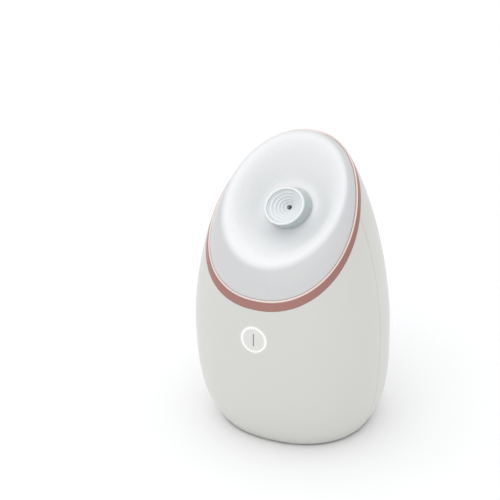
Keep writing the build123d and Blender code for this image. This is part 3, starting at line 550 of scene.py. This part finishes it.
class SteamerSizes(bpy.types.PropertyGroup):
    wall: size_prop("Shell wall", "Thickness of the two shells", 2.5)
    seam: size_prop("Seam", "Gap between the front and rear shells", 0.3)
    shell_edge: size_prop("Shell edge", "Rounding along the edges of the shells", 0.35)
    ring_height: size_prop("Ring height", "Height of the plated ring above the cut", 3.9)
    ring_land: size_prop("Ring land", "Width of the ring's pale top", 1.4)
    ring_edge: size_prop("Ring edge", "Rounding of the ring's outer edge", 0.4)
    crest_rise: size_prop("Crest rise", "Height of the dish's crest above the ring", 10.1)
    crest_half_x: size_prop("Crest half width", "Half width of the crest across", 45.1)
    crest_half_y: size_prop("Crest half length", "Half length of the crest up the slope", 54.6)
    crest_fall: bpy.props.FloatProperty(
        name="Crest fall", description="Share of the crest's rise lost towards the top of the slope",
        default=0.15, min=0, max=1, subtype="FACTOR",
    )
    rim_edge: size_prop("Nozzle rim", "Rounding of the nozzle's rim", 0.6)


class SteamerColours(bpy.types.PropertyGroup):
    shell: color_prop("Shell", "Warm white of the body", 214, 214, 209)
    plating: color_prop("Plating", "Rose plating of the ring", 171, 123, 115)
    highlight_land: color_prop("Land", "Pale rose on the ring's top", 232, 214, 208)
    # Painted highlight: pale rose is painted on the ring's top in place of the light it catches.
    dish: color_prop("Dish", "White of the dished top", 236, 237, 238)
    # Painted shade: a greyer white is painted on the dish's skirt outside the crest, in place of the
    # shade that falls there.
    skirt: color_prop("Skirt", "Greyer white outside the dish's crest", 208, 209, 209)
    nozzle: color_prop("Nozzle", "Clear plastic of the nozzle", 186, 197, 196)
    funnel: color_prop("Funnel", "Stepped funnel in the nozzle", 228, 233, 234)
    button: color_prop("Button", "Face of the power button", 225, 225, 222)
    mark: color_prop("Mark", "Line on the power button", 120, 122, 118)
    tank: color_prop("Tank", "Smoky water tank", 178, 186, 190)
    moulding: color_prop("Moulding", "Grey plastic under and inside", 158, 160, 162)


def sizes():
    return bpy.context.scene.steamer_sizes


def colours():
    return bpy.context.scene.steamer_colours


def mm(value):
    """A length in metres, given in millimetres."""
    return value / MM


# --------------------------------------------------------------------- operators


class SteamerOperator(bpy.types.Operator):
    bl_options = {"REGISTER", "UNDO"}

    def execute(self, context):
        self.build()
        return {"FINISHED"}


class STEAMER_OT_finish_frame(SteamerOperator):
    """Give every piece of the frame its own finish"""

    bl_idname = "steamer.finish_frame"
    bl_label = "Finish Frame Pieces"

    def build(self):
        tone = colours()
        finishes = {
            "shell": moulded("shell_plastic", tone.shell, 0.36, coat=0.25),
            "rose_plating": satin_metal("rose_plate", tone.plating, 0.35),
            "dish_white": self.dish_plastic(),
            "grey_plastic": moulded("grey_moulding", tone.moulding, 0.5),
            "silicone": rubbery("silicone", linear(225, 226, 222), 0.45),
            "boiler_metal": satin_metal("boiler_casting", linear(176, 178, 180), 0.45),
            "heater_ceramic": moulded("heater_ceramic", linear(222, 216, 205), 0.6),
            "dark_plastic": moulded("dark_moulding", linear(38, 38, 40), 0.45),
            "steel": satin_metal("steel", linear(182, 183, 184), 0.3),
            "lit_ring": moulded("lit_diffuser", tone.button, 0.35, glow=GLOW),
            "circuit_board": circuit_board("board_mask", linear(24, 84, 48)),
            "lamp": glowing("lamp_lens", linear(250, 250, 240), 1.0),
            "terminal_green": moulded("terminal_plastic", linear(40, 118, 66), 0.5),
            "rubber": rubbery("foot_rubber", linear(58, 58, 60)),
            "clear_plastic": self.nozzle_plastic(),
            "funnel_white": moulded("funnel_plastic", tone.funnel, 0.22),
            "button_white": moulded("button_plastic", tone.button, 0.4, glow=GLOW),
            "mark_grey": moulded("mark_paint", tone.mark, 0.5),
            "tank_plastic": clear_plastic("tank_clear", tone.tank, 0.2, 0.3),
        }
        moulded("front_shell_plastic", tone.shell, 0.36, coat=0.25, glow=GLOW)
        for entry in frame["record"]["subparts"]:
            mesh = frame["nodes"][entry["node"]].data
            mesh.materials.clear()
            mesh.materials.append(finishes[entry["material_slot"]])

    def dish_plastic(self):
        """Gloss white plastic, with painted shade that greys the skirt outside the crest."""
        size, tone = sizes(), colours()
        finish = Finish("dish_plastic", tone.dish, Coat_Weight=0.4, Coat_Roughness=0.08)
        parts = finish.node("SeparateXYZ", None, Vector=finish.place())
        across, depth, height = (finish.value(parts.outputs[k]) for k in range(3))
        up_slope = (depth - CUT_CENTRE_Y * MM) * cos(CUT_ANGLE)
        up_slope = up_slope + (height - CUT_CENTRE_Z * MM) * sin(CUT_ANGLE) - NOZZLE_UP * MM
        wide, long = across * (1 / size.crest_half_x), up_slope * (1 / size.crest_half_y)
        outward = (wide * wide + long * long).apply("SQRT")
        # Painted shade: outside the crest the colour is mixed towards the greyer skirt white.
        skirt = ((outward - 0.94) * 9.0).clamp()
        cloud = finish.noise(CLOUD_SCALE)
        finish.tint(tone.skirt, (skirt + cloud * 0.12).clamp())
        finish.rough(0.28, 0.08, cloud)
        finish.bump(finish.noise(GRAIN_SCALE, 2.0, 0.6), 0.008)
        return finish.material

    def nozzle_plastic(self):
        """Clear plastic: grey-green through the side, with painted highlight whitening the rim where
        light gathers.
        """
        tone = colours()
        finish = Finish(
            "nozzle_clear", tone.nozzle, Coat_Weight=0.6, Coat_Roughness=0.04,
            Transmission_Weight=0.12, IOR=1.46,
        )
        above = finish.above_cut()
        # Painted highlight: the top of the nozzle's wall is mixed towards white.
        rim = ((above - NOZZLE_RIM + 1.6) * 0.8).clamp()
        haze = finish.noise(60.0)
        finish.tint(linear(244, 248, 248), (rim + haze * 0.15).clamp())
        finish.rough(0.14, 0.06, haze)
        finish.bump(finish.noise(300.0, 2.0), 0.01)
        return finish.material


def finish_of(name):
    return bpy.data.materials[name]


def egg_sheet(name, start, stop, axis_y):
    """Curved sheet of the egg's wall between two headings, from the base up to the tilted cut."""
    clear_selection()
    bpy.ops.mesh.primitive_grid_add(
        x_subdivisions=SHEET_COLUMNS, y_subdivisions=SHEET_ROWS, size=1
    )
    piece = take_new(name)
    tops = {}
    for vertex in piece.data.vertices:
        column = round((vertex.co.x + 0.5) * SHEET_COLUMNS)
        row = vertex.co.y + 0.5
        angle = start + (stop - start) * column / SHEET_COLUMNS

        def point(z):
            reach = wall_reach(z, angle, axis_y)
            return (reach * cos(angle), axis_y + reach * sin(angle), z)

        if column not in tops:
            tops[column] = bisect(
                SHELL_BOTTOM, EGG_TOP, lambda z: above_cut(point(z)[1], z) > 0, 0.002
            )
        z = SHELL_BOTTOM + (tops[column] - SHELL_BOTTOM) * row
        vertex.co = Vector(point(z)) * MM
    return piece


def cut_away(piece, cutter):
    """Cuts one mesh out of another, and removes the cutter."""
    modify(piece, "BOOLEAN", operation="DIFFERENCE", solver="EXACT", object=cutter)
    bpy.data.objects.remove(cutter, do_unlink=True)


def rounded_block(name, half_x, half_z, corner, depth):
    """Block with four rounded corners as seen from behind."""
    clear_selection()
    bpy.ops.mesh.primitive_cube_add(size=2, location=(0, 0, 0))
    piece = take_new(name)
    piece.scale = (half_x, depth / 2, half_z)
    bpy.ops.object.transform_apply(location=False, rotation=False, scale=True)
    bpy.ops.object.mode_set(mode="EDIT")
    bpy.ops.mesh.select_all(action="DESELECT")
    bpy.ops.object.mode_set(mode="OBJECT")
    for edge in piece.data.edges:
        ends = [piece.data.vertices[i].co for i in edge.vertices]
        edge.select = abs(ends[0].y - ends[1].y) > depth / 2
    bpy.ops.object.mode_set(mode="EDIT")
    bpy.ops.mesh.select_mode(type="EDGE")
    bpy.ops.mesh.bevel(offset=corner, segments=12, affect="EDGES")
    bpy.ops.object.mode_set(mode="OBJECT")
    return piece


class STEAMER_OT_add_shells(SteamerOperator):
    """Model the front and rear shells as smooth sheets with a wall and soft edges"""

    bl_idname = "steamer.add_shells"
    bl_label = "Add Shells"

    def build(self):
        size = sizes()
        half_gap = mm(size.seam) / 2
        front = egg_sheet("front_shell_skin", pi, 2 * pi, SEAM_Y - half_gap)
        rear = egg_sheet("rear_shell_skin", 0, pi, SEAM_Y + half_gap)
        for piece in (front, rear):
            modify(piece, "SOLIDIFY", thickness=size.wall, offset=-1, use_even_offset=True)
        self.cut_button_hole(front)
        self.cut_tank_window(rear)
        for piece, node, plastic in (
            (front, "front_shell", "front_shell_plastic"), (rear, "rear_shell", "shell_plastic")
        ):
            modify(
                piece, "BEVEL", width=size.shell_edge, segments=3, limit_method="ANGLE",
                angle_limit=radians(50), use_clamp_overlap=True,
            )
            smooth(piece, 40)
            finish_piece(piece, "base", "shell", finish_of(plastic), node)

    def cut_button_hole(self, piece):
        low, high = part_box("button_ring")
        middle = (Vector(low) + Vector(high)) / 2
        clear_selection()
        bpy.ops.mesh.primitive_cylinder_add(
            vertices=96, radius=BUTTON_HOLE_R * MM, depth=BUTTON_CUT_DEPTH * MM,
            location=(0, low[1], middle.z), rotation=(radians(90 - BUTTON_TILT), 0, 0),
        )
        cutter = take_new("button_cutter")
        bpy.ops.object.transform_apply()
        cut_away(piece, cutter)

    def cut_tank_window(self, piece):
        low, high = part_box("water_tank")
        half_x = (high[0] - low[0]) / 2 + TANK_GAP * MM
        half_z = (high[2] - low[2]) / 2 + TANK_GAP * MM
        cutter = rounded_block(
            "tank_cutter", half_x, half_z, TANK_CORNER * MM, TANK_CUT_DEPTH * MM
        )
        place(cutter, Matrix.Translation((0, TANK_CUT_Y * MM, (low[2] + high[2]) / 2)))
        cut_away(piece, cutter)


def ring_sheet(name, profile):
    """Closed band round the cut.

    The profile gives (height, inset, level) corners: the inset is from the egg's wall at level.
    """
    clear_selection()
    count = len(profile)
    bpy.ops.mesh.primitive_torus_add(
        major_segments=RING_SEGMENTS, minor_segments=count, major_radius=1, minor_radius=0.1
    )
    piece = take_new(name)
    for index, vertex in enumerate(piece.data.vertices):
        angle = 2 * pi * (index // count) / RING_SEGMENTS
        height, inset, level = profile[index % count]
        reach = cut_reach(level, angle) - inset
        vertex.co = Vector((reach * cos(angle), reach * sin(angle), height)) * MM
    place(piece, CUT_FRAME)
    fix_normals(piece)
    return piece


class STEAMER_OT_add_ring(SteamerOperator):
    """Model the plated ring: an outer face that follows the egg, a rounded edge and a flat top made
    paler by painted highlight
    """

    bl_idname = "steamer.add_ring"
    bl_label = "Add Ring"

    def build(self):
        size = sizes()
        top = mm(size.ring_height)
        highlight_land = mm(size.ring_land)
        edge = mm(size.ring_edge)
        profile = []
        for k in range(RING_FACES + 1):
            level = JOINT_GAP + (top - edge - JOINT_GAP) * k / RING_FACES
            profile.append((level, 0.0, level))
        for k in range(1, RING_TURNS + 1):
            turn = pi / 2 * k / RING_TURNS
            level = top - edge + edge * sin(turn)
            profile.append((level, edge * (1 - cos(turn)), top))
        profile.append((top, highlight_land - 0.25, top))
        profile.append((top - 0.08, highlight_land - 0.08, top))
        profile.append((top - 0.3, highlight_land, top))
        profile.append((JOINT_GAP, highlight_land, top))
        piece = ring_sheet("trim_ring_band", profile)
        smooth(piece, 45)
        finish_piece(piece, "base", "rose_plating", self.material(), "trim_ring")

    def material(self):
        """Rose plating, with painted highlight making the top of the ring paler."""
        tone = colours()
        finish = Finish("ring_plate", tone.plating, Metallic=0.55, Coat_Weight=0.3)
        cloud = finish.noise(40.0, 2.0)
        lines = finish.noise(1200.0, 2.0)
        start = mm(sizes().ring_height) - 0.35
        # Painted highlight: the top of the ring is mixed towards the pale rose.
        painted_highlight = ((finish.above_cut() - start) * 8.0).clamp()
        mixed = finish.mix(finish.color, (*tone.highlight_land, 1), painted_highlight)
        dark = (*(c * 0.75 for c in tone.plating), 1)
        finish.feed(finish.shader.inputs["Base Color"], finish.mix(mixed, dark, cloud * 0.25))
        finish.rough(0.36, 0.1, cloud)
        finish.bump(lines, 0.004)
        return finish.material


class STEAMER_OT_add_dish(SteamerOperator):
    """Model the white dished top: a skirt, a soft crest and a bowl round the nozzle"""

    bl_idname = "steamer.add_dish"
    bl_label = "Add Dish"

    def build(self):
        size = sizes()
        ring_top = mm(size.ring_height)
        rise = mm(size.crest_rise)
        highlight_land = mm(size.ring_land)
        crest_x = mm(size.crest_half_x)
        crest_y = mm(size.crest_half_y)
        fall = size.crest_fall
        rows = [("skirt", 0.0)]
        rows += [("roll", k / SKIRT_STEPS) for k in range(SKIRT_STEPS + 1)]
        rows += [("bowl", k / BOWL_STEPS) for k in range(1, BOWL_STEPS + 1)]
        rows += [("hole", 1.0)]
        clear_selection()
        bpy.ops.mesh.primitive_grid_add(
            x_subdivisions=RING_SEGMENTS, y_subdivisions=len(rows) - 1, size=1
        )
        piece = take_new("dish_top")
        for vertex in piece.data.vertices:
            column = round((vertex.co.x + 0.5) * RING_SEGMENTS)
            stage, along = rows[round((vertex.co.y + 0.5) * (len(rows) - 1))]
            angle = 2 * pi * column / RING_SEGMENTS
            base = cut_reach(ring_top, angle) - highlight_land - JOINT_GAP
            base_x, base_y = base * cos(angle), base * sin(angle)
            rim_x, rim_y = crest_x * cos(angle), crest_y * sin(angle) + NOZZLE_UP
            lift = rise * (1 - fall * (1 + sin(angle)) / 2)
            if stage == "skirt":
                x, y, height = base_x, base_y, JOINT_GAP
            elif stage == "roll":
                roll = pi / 2 * along
                inward = 1 - abs(cos(roll)) ** (2 / SKIRT_FULLNESS)
                x = base_x + (rim_x - base_x) * inward
                y = base_y + (rim_y - base_y) * inward
                height = ring_top + lift * sin(roll) ** (2 / SKIRT_FULLNESS)
            elif stage == "bowl":
                x = rim_x + (FLOOR_RADIUS * cos(angle) - rim_x) * along
                y = rim_y + (FLOOR_RADIUS * sin(angle) + NOZZLE_UP - rim_y) * along
                drop = (1 - cos(pi * along**BOWL_FLARE)) / 2
                height = ring_top + lift - (ring_top + lift - DISH_FLOOR) * drop
            else:
                x, y = DISH_HOLE_R * cos(angle), DISH_HOLE_R * sin(angle) + NOZZLE_UP
                height = DISH_FLOOR
            vertex.co = Vector((x, y, height)) * MM
        place(piece, CUT_FRAME)
        fix_normals(piece)
        modify(piece, "SOLIDIFY", thickness=DISH_SKIN * MM, offset=-1, use_even_offset=True)
        smooth(piece, 40)
        finish_piece(piece, "base", "dish_white", finish_of("dish_plastic"), "dish")


class STEAMER_OT_add_nozzle(SteamerOperator):
    """Model the clear nozzle and the stepped white funnel inside it"""

    bl_idname = "steamer.add_nozzle"
    bl_label = "Add Nozzle"

    def build(self):
        edge = mm(sizes().rim_edge)
        self.add_cup(edge)
        self.add_funnel()

    def add_cup(self, edge):
        lip_r = NOZZLE_RIM_R - NOZZLE_WALL
        slope = (NOZZLE_RIM_R - NOZZLE_FOOT_R) / (NOZZLE_RIM - NOZZLE_FOOT)
        corners = [(lip_r, NOZZLE_INNER_FOOT), (NOZZLE_FOOT_R - 1.2, NOZZLE_FOOT)]
        corners += [(NOZZLE_FOOT_R - 0.3, NOZZLE_FOOT), (NOZZLE_FOOT_R, NOZZLE_FOOT + 0.3)]
        corners += [(NOZZLE_RIM_R - slope * edge, NOZZLE_RIM - edge)]
        level = NOZZLE_RIM - edge
        for k in range(1, RIM_STEPS + 1):
            turn = pi / 2 * k / RIM_STEPS
            corners.append((NOZZLE_RIM_R - edge * (1 - cos(turn)), level + edge * sin(turn)))
        for k in range(RIM_STEPS + 1):
            turn = pi / 2 * k / RIM_STEPS
            corners.append((lip_r + edge * (1 - sin(turn)), level + edge * cos(turn)))
        piece = stack_rings("nozzle_cup", corners)
        close_loop(piece)
        place(piece, NOZZLE_FRAME)
        smooth(piece, 40)
        finish_piece(piece, "nozzle", "clear_plastic", finish_of("nozzle_clear"), "steam_nozzle")

    def add_funnel(self):
        outer = NOZZLE_RIM_R - NOZZLE_WALL - 0.1
        corners = [(STEAM_HOLE_R + 1.0, STEAM_TUBE), (outer, FUNNEL_FLOOR - 1.0)]
        corners += [(outer, FUNNEL_STEPS[0][1] + 0.4)]
        for radius, height in FUNNEL_STEPS:
            corners += [(radius + 0.3, height + 0.35), (radius + 0.05, height + 0.25)]
            corners += [(radius - 0.1, height), (radius - 0.25, height - 1.1)]
            corners += [(radius - 0.5, height - 1.25)]
        corners += [(STEAM_HOLE_R + 0.5, FUNNEL_FLOOR + 0.3), (STEAM_HOLE_R, FUNNEL_FLOOR)]
        corners += [(STEAM_HOLE_R, STEAM_TUBE)]
        piece = stack_rings("nozzle_funnel", corners)
        close_loop(piece)
        place(piece, NOZZLE_FRAME)
        smooth(piece, 50)
        finish_piece(piece, "nozzle", "funnel_white", finish_of("funnel_plastic"), "steam_funnel")


class STEAMER_OT_add_stage(SteamerOperator):
    """Set the floor, the soft lights and the camera"""

    bl_idname = "steamer.add_stage"
    bl_label = "Add Stage"

    def build(self):
        self.add_floor()
        self.add_lights()
        self.add_camera()

    def add_floor(self):
        clear_selection()
        bpy.ops.mesh.primitive_plane_add(size=FLOOR_SIZE)
        floor = take_new("floor")
        finish = Finish("floor_paper", (0.97, 0.97, 0.97), Roughness=0.9)
        finish.tint((0.94, 0.945, 0.96), finish.noise(3.0) * 0.2)
        floor.data.materials.append(finish.material)

    def add_lights(self):
        world = bpy.data.worlds.new("studio")
        bpy.context.scene.world = world
        world.use_nodes = True
        tree = world.node_tree
        backdrop = tree.nodes["Background"]
        backdrop.inputs["Color"].default_value = (0.985, 0.99, 1, 1)
        seen = Value(tree, tree.nodes.new("ShaderNodeLightPath").outputs["Is Camera Ray"])
        level = seen * (BACKDROP - ROOM_LIGHT) + ROOM_LIGHT
        tree.links.new(level.socket, backdrop.inputs["Strength"])
        for name, where, spread, power in (
            ("overhead", (-0.1, -0.15, 1.0), 75.0, TOP_LIGHT),
            ("front fill", (0.1, -1.0, 0.9), 60.0, FRONT_LIGHT),
        ):
            lamp = bpy.data.lights.new(name, "SUN")
            lamp.angle = radians(spread)
            lamp.energy = power
            holder = bpy.data.objects.new(name, lamp)
            bpy.context.collection.objects.link(holder)
            holder.location = where
            holder.rotation_euler = (-Vector(where)).to_track_quat("-Z", "Y").to_euler()

    def add_camera(self):
        level = cos(CAMERA_ELEVATION)
        target = Vector((0, CENTRE_Y * MM, CAMERA_TARGET_Z * MM))
        back = Vector((
            sin(CAMERA_AZIMUTH) * level, -cos(CAMERA_AZIMUTH) * level, sin(CAMERA_ELEVATION)
        ))
        data = bpy.data.cameras.new("camera")
        camera = bpy.data.objects.new("camera", data)
        bpy.context.collection.objects.link(camera)
        camera.location = target + back * CAMERA_DISTANCE * MM
        camera.rotation_euler = (-back).to_track_quat("-Z", "Y").to_euler()
        data.sensor_width = 36.0
        data.lens = CAMERA_LENS
        data.shift_x, data.shift_y = CAMERA_SHIFT
        data.clip_start = 0.01
        bpy.context.scene.camera = camera
        bpy.context.scene.view_settings.view_transform = "Standard"


OPERATORS = (
    STEAMER_OT_finish_frame,
    STEAMER_OT_add_shells,
    STEAMER_OT_add_ring,
    STEAMER_OT_add_dish,
    STEAMER_OT_add_nozzle,
    STEAMER_OT_add_stage,
)


class STEAMER_PT_panel(bpy.types.Panel):
    bl_label = "Facial Steamer"
    bl_idname = "STEAMER_PT_panel"
    bl_space_type = "VIEW_3D"
    bl_region_type = "UI"
    bl_category = "Steamer"

    def draw(self, context):
        for operator in OPERATORS:
            self.layout.operator(operator.bl_idname)
        for group in (context.scene.steamer_sizes, context.scene.steamer_colours):
            for name in group.bl_rna.properties.keys():
                if name not in ("rna_type", "name"):
                    self.layout.prop(group, name)


CLASSES = (SteamerSizes, SteamerColours, *OPERATORS, STEAMER_PT_panel)


def register():
    for item in CLASSES:
        bpy.utils.register_class(item)
    bpy.types.Scene.steamer_sizes = bpy.props.PointerProperty(type=SteamerSizes)
    bpy.types.Scene.steamer_colours = bpy.props.PointerProperty(type=SteamerColours)


def unregister():
    del bpy.types.Scene.steamer_sizes
    del bpy.types.Scene.steamer_colours
    for item in reversed(CLASSES):
        bpy.utils.unregister_class(item)


def main():
    register()
    bpy.ops.steamer.finish_frame()
    bpy.ops.steamer.add_shells()
    bpy.ops.steamer.add_ring()
    bpy.ops.steamer.add_dish()
    bpy.ops.steamer.add_nozzle()
    bpy.ops.steamer.add_stage()


if __name__ == "__main__":
    main()
